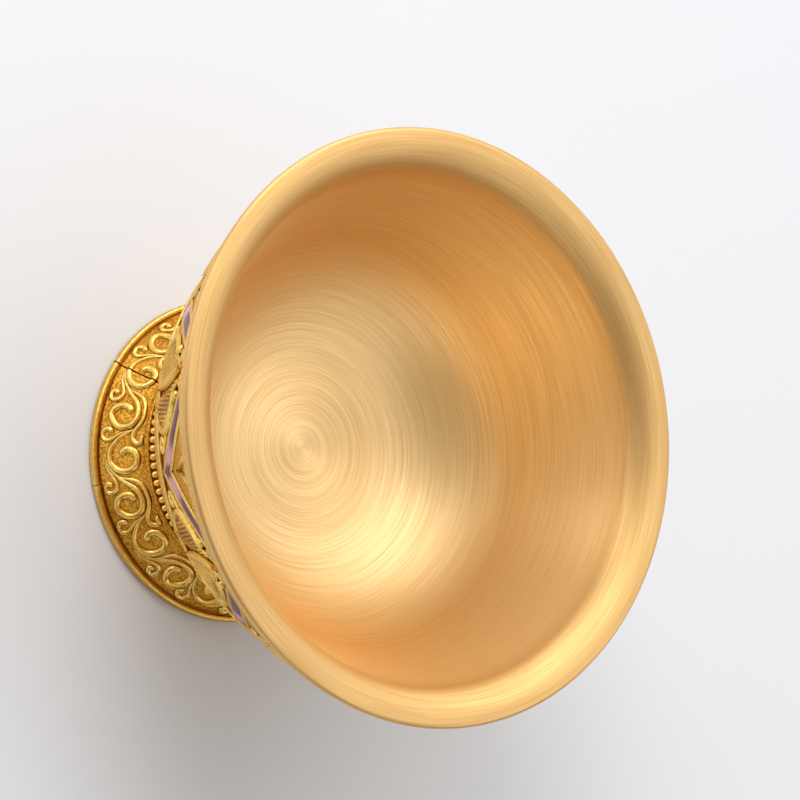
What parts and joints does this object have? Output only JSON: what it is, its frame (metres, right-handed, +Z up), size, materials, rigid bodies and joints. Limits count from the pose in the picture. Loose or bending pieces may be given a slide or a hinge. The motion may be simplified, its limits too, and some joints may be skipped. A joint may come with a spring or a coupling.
{
  "type": "offering bowl",
  "caption": "Footed gilt metal offering bowl: brushed inside, flat flared lip, enamelled chevron and lotus relief round the side, waisted neck and a scrolled foot; holds water or grain.",
  "frame": {"origin": "middle of the base, where the foot stands on the table", "axes": "+Z up along the bowl's axis; -Y is the side of the ornament that the picture shows"},
  "size_m": [0.0896, 0.0896, 0.0558],
  "materials": {
    "brushed_gold": "satin, brushed in circles",
    "sheath_gold": "satin gilt",
    "foot_gold": "satin gilt, stippled ground",
    "relief_gold": "polished gilt relief",
    "enamel": "glossy purple enamel",
    "fastener_brass": "plain turned"
  },
  "bodies": {
    "root": {"bowl": "brushed_gold", "sheath_cone": "sheath_gold", "sheath_cup": "sheath_gold", "belly_ring": "sheath_gold", "rim_band": "sheath_gold", "neck": "foot_gold", "foot_plate": "foot_gold", "beads": "foot_gold", "foot_band": "foot_gold", "edge_ring": "foot_gold", "chevron_low_frames": "relief_gold", "chevron_high_frames": "relief_gold", "inner_chevrons": "relief_gold", "petal_ribs": "relief_gold", "side_petals": "relief_gold", "petal_curls": "relief_gold", "petal_pearls": "relief_gold", "edge_side_scrolls": "relief_gold", "edge_side_curls": "relief_gold", "bead_side_scrolls": "relief_gold", "bead_side_curls": "relief_gold", "enamel_chevrons": "enamel", "stud": "fastener_brass", "washer": "fastener_brass", "nut": "fastener_brass"}
  },
  "joints": []
}
